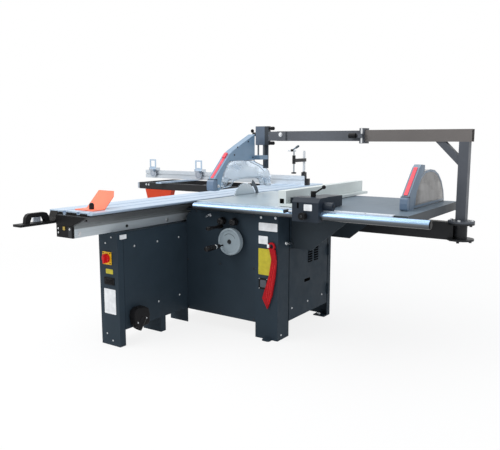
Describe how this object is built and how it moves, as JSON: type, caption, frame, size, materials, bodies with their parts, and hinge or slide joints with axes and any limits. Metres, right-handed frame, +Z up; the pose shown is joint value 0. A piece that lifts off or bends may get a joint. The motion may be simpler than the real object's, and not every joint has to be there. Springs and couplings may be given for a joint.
{
  "type": "sliding table saw",
  "caption": "Sliding table saw with a tilting toothed blade on a lift carriage, long sliding carriage and outrigger, rip fence on a round rail, and a hood hung from an overhead arm.",
  "frame": {"origin": "on the floor, in the middle of the main cabinet's four anchor holes", "axes": "+X right along the front rail, +Y along the feed and away from the user, +Z up"},
  "size_m": [3.737, 3.056, 1.396],
  "materials": {
    "cabinet_paint": "satin",
    "black_plastic": "matte",
    "yellow_plate": "gloss",
    "red_plastic": "gloss",
    "cast_table": "ground",
    "painted_table": "satin",
    "bright_steel": "bright",
    "anodised": "satin",
    "beam_metal": "satin",
    "coral_paint": "satin",
    "black_paint": "satin",
    "orange_paint": "satin",
    "slate_paint": "satin",
    "grey_paint": "satin",
    "hood_paint": "satin",
    "clear_plastic": "clear",
    "castings": "cast",
    "motor_paint": "satin",
    "dark_steel": "dark",
    "belt_rubber": "matte",
    "wheel_metal": "satin"
  },
  "bodies": {
    "base": {"cabinet_frame": "cabinet_paint", "cabinet_panels": "cabinet_paint", "front_cabinet": "cabinet_paint", "front_cabinet_cover": "cabinet_paint", "power_inlet": "black_plastic", "vent_grille": "black_plastic", "switch_plate": "yellow_plate", "main_table": "cast_table", "extension_table": "painted_table", "table_brackets": "cabinet_paint", "front_rail": "bright_steel", "slide_beam": "beam_metal", "beam_end_caps": "black_plastic", "support_beam": "black_paint", "overhead_post": "grey_paint", "arm_outer_tube": "grey_paint", "arm_collar": "grey_paint", "trunnions": "castings"},
    "door": {"side_door": "cabinet_paint"},
    "switch": {"switch_knob": "red_plastic"},
    "carriage": {"sliding_table": "anodised", "push_handle": "black_plastic", "outrigger_frame": "black_paint", "outrigger_bar": "anodised", "crosscut_fence": "anodised", "clamp_column": "black_paint"},
    "shoe": {"edging_shoe": "coral_paint"},
    "stop_left": {"flip_stop_left": "bright_steel"},
    "stop_right": {"flip_stop_right": "bright_steel"},
    "clamp": {"clamp_spindle": "bright_steel"},
    "swing": {"swing_arm": "black_paint"},
    "swing_inner": {"swing_extension": "orange_paint"},
    "fence": {"rip_fence_body": "slate_paint"},
    "fence_bar": {"rip_fence_bar": "anodised"},
    "fence_lever_body": {"fence_lever": "black_plastic"},
    "fence_clamp_body": {"fence_clamp": "black_plastic"},
    "fence_front_knob_body": {"fence_front_knob": "black_plastic"},
    "fence_side_knob_body": {"fence_side_knob": "slate_paint"},
    "arm_lock": {"arm_lock_knob": "black_plastic"},
    "arm_inner": {"arm_inner_tube": "grey_paint", "hood_hanger": "grey_paint"},
    "hood": {"hood_shell": "hood_paint", "hood_window": "clear_plastic", "hood_trim": "red_plastic"},
    "tilt": {"tilt_frame": "castings"},
    "lift": {"lift_carriage": "castings", "motor": "motor_paint", "riving_knife": "dark_steel", "drive_belt": "belt_rubber"},
    "blade": {"saw_blade": "bright_steel"},
    "motor_rotor": {"motor_pulley": "castings"},
    "scoring": {"scoring_blade": "bright_steel"},
    "wheel": {"handwheel": "wheel_metal"},
    "wheel_grip": {"handwheel_grip": "black_plastic"},
    "height_handle": {"height_crank": "black_plastic"},
    "scoring_knob_a": {"scoring_knob_left": "black_plastic"},
    "scoring_knob_b": {"scoring_knob_right": "black_plastic"},
    "stick": {"push_stick": "red_plastic"},
    "spare_hood": {"spare_hood_shell": "hood_paint", "spare_hood_window": "clear_plastic"}
  },
  "joints": [
    {"name": "door_hinge", "type": "hinge", "parent": "base", "child": "door", "pos_m": [0.467, 0.318, 0.35], "axis": [0, 0, 1], "range_deg": [0, 85]},
    {"name": "switch_turn", "type": "hinge", "parent": "base", "child": "switch", "pos_m": [-0.3865, -1.03, 0.563], "axis": [0, -1, 0], "range_deg": [0, 90]},
    {"name": "carriage_slide", "type": "slide", "parent": "base", "child": "carriage", "axis": [0, 1, 0], "range_m": [-1.2, 1.2]},
    {"name": "shoe_slide", "type": "slide", "parent": "carriage", "child": "shoe", "axis": [0, 1, 0], "range_m": [-0.05, 0.9]},
    {"name": "flip_stop_left_turn", "type": "hinge", "parent": "carriage", "child": "stop_left", "pos_m": [-2.1535, 1.25, 0.978], "axis": [1, 0, 0], "range_deg": [0, 178]},
    {"name": "flip_stop_right_turn", "type": "hinge", "parent": "carriage", "child": "stop_right", "pos_m": [-1.5097, 1.25, 0.978], "axis": [1, 0, 0], "range_deg": [0, 178]},
    {"name": "clamp_press", "type": "slide", "parent": "carriage", "child": "clamp", "axis": [0, 0, 1], "range_m": [-0.033, 0.06]},
    {"name": "swing_arm_turn", "type": "hinge", "parent": "base", "child": "swing", "pos_m": [-0.522, 0.328, 0.65], "axis": [0, 0, 1], "range_deg": [-45, 20]},
    {"name": "swing_arm_extend", "type": "slide", "parent": "swing", "child": "swing_inner", "axis": [-0.8957, 0.4446, 0], "range_m": [-0.25, 0.2]},
    {"name": "fence_slide", "type": "slide", "parent": "base", "child": "fence", "axis": [1, 0, 0], "range_m": [-0.6, 0.32]},
    {"name": "fence_bar_slide", "type": "slide", "parent": "fence", "child": "fence_bar", "axis": [0, 1, 0], "range_m": [-0.3, 0.3]},
    {"name": "fence_lever_turn", "type": "hinge", "parent": "fence", "child": "fence_lever_body", "pos_m": [0.71452, -0.38577, 0.96], "axis": [0, 0, 1], "range_deg": [-60, 60]},
    {"name": "fence_clamp_turn", "type": "hinge", "parent": "fence", "child": "fence_clamp_body", "pos_m": [0.6, -0.46799, 0.8704], "axis": [1, 0, 0], "range_deg": [-90, 90]},
    {"name": "fence_front_knob_turn", "type": "hinge", "parent": "fence", "child": "fence_front_knob_body", "pos_m": [0.70502, -0.49, 0.84925], "axis": [0, 1, 0], "range_deg": [-180, 180]},
    {"name": "fence_side_knob_turn", "type": "hinge", "parent": "fence", "child": "fence_side_knob_body", "pos_m": [0.82, -0.4102, 0.90565], "axis": [1, 0, 0], "range_deg": [-180, 180]},
    {"name": "arm_lock_turn", "type": "hinge", "parent": "base", "child": "arm_lock", "pos_m": [0.65, 0.3465, 1.32], "axis": [1, 0, 0], "range_deg": [-180, 180]},
    {"name": "arm_telescope", "type": "slide", "parent": "base", "child": "arm_inner", "axis": [1, 0, 0], "range_m": [0, 0.4]},
    {"name": "hood_lift", "type": "slide", "parent": "arm_inner", "child": "hood", "axis": [0, 0, 1], "range_m": [0, 0.07]},
    {"name": "blade_tilt", "type": "hinge", "parent": "base", "child": "tilt", "pos_m": [-0.19, 0, 0.88], "axis": [0, 1, 0], "range_deg": [0, 45]},
    {"name": "blade_lift", "type": "slide", "parent": "tilt", "child": "lift", "axis": [0, 0, 1], "range_m": [-0.095, 0.005]},
    {"name": "blade_spin", "type": "hinge", "parent": "lift", "child": "blade", "pos_m": [-0.19, 0.195, 0.815], "axis": [1, 0, 0], "continuous": true},
    {"name": "motor_spin", "type": "hinge", "parent": "lift", "child": "motor_rotor", "pos_m": [-0.07, 0.195, 0.58], "axis": [1, 0, 0], "continuous": true},
    {"name": "scoring_spin", "type": "hinge", "parent": "tilt", "child": "scoring", "pos_m": [-0.19, -0.076, 0.822], "axis": [1, 0, 0], "continuous": true},
    {"name": "handwheel_turn", "type": "hinge", "parent": "base", "child": "wheel", "pos_m": [0.116, -0.4, 0.629], "axis": [0, -1, 0], "range_deg": [0, 1800]},
    {"name": "grip_spin", "type": "hinge", "parent": "wheel", "child": "wheel_grip", "pos_m": [0.063, -0.45, 0.601], "axis": [0, -1, 0], "continuous": true},
    {"name": "height_handle_turn", "type": "hinge", "parent": "base", "child": "height_handle", "pos_m": [0.015, -0.4, 0.719], "axis": [0, -1, 0], "range_deg": [-3600, 189.47]},
    {"name": "scoring_knob_left_turn", "type": "hinge", "parent": "base", "child": "scoring_knob_a", "pos_m": [0.037, -0.39, 0.759], "axis": [0, -1, 0], "range_deg": [-180, 180]},
    {"name": "scoring_knob_right_turn", "type": "hinge", "parent": "base", "child": "scoring_knob_b", "pos_m": [0.135, -0.39, 0.759], "axis": [0, -1, 0], "range_deg": [-180, 180]},
    {"name": "push_stick_swing", "type": "hinge", "parent": "base", "child": "stick", "pos_m": [0.418, -0.38, 0.6329], "axis": [0, 1, 0], "range_deg": [-20, 20]},
    {"name": "spare_hood_lift", "type": "slide", "parent": "base", "child": "spare_hood", "axis": [0, 0, 1], "range_m": [0, 0.12]}
  ],
  "couplings": [
    {"joint": "motor_spin", "follows": "blade_spin", "ratio": 0.75},
    {"joint": "handwheel_turn", "follows": "blade_tilt", "ratio": 40},
    {"joint": "height_handle_turn", "follows": "blade_lift", "rad_per_m": 661.39}
  ]
}
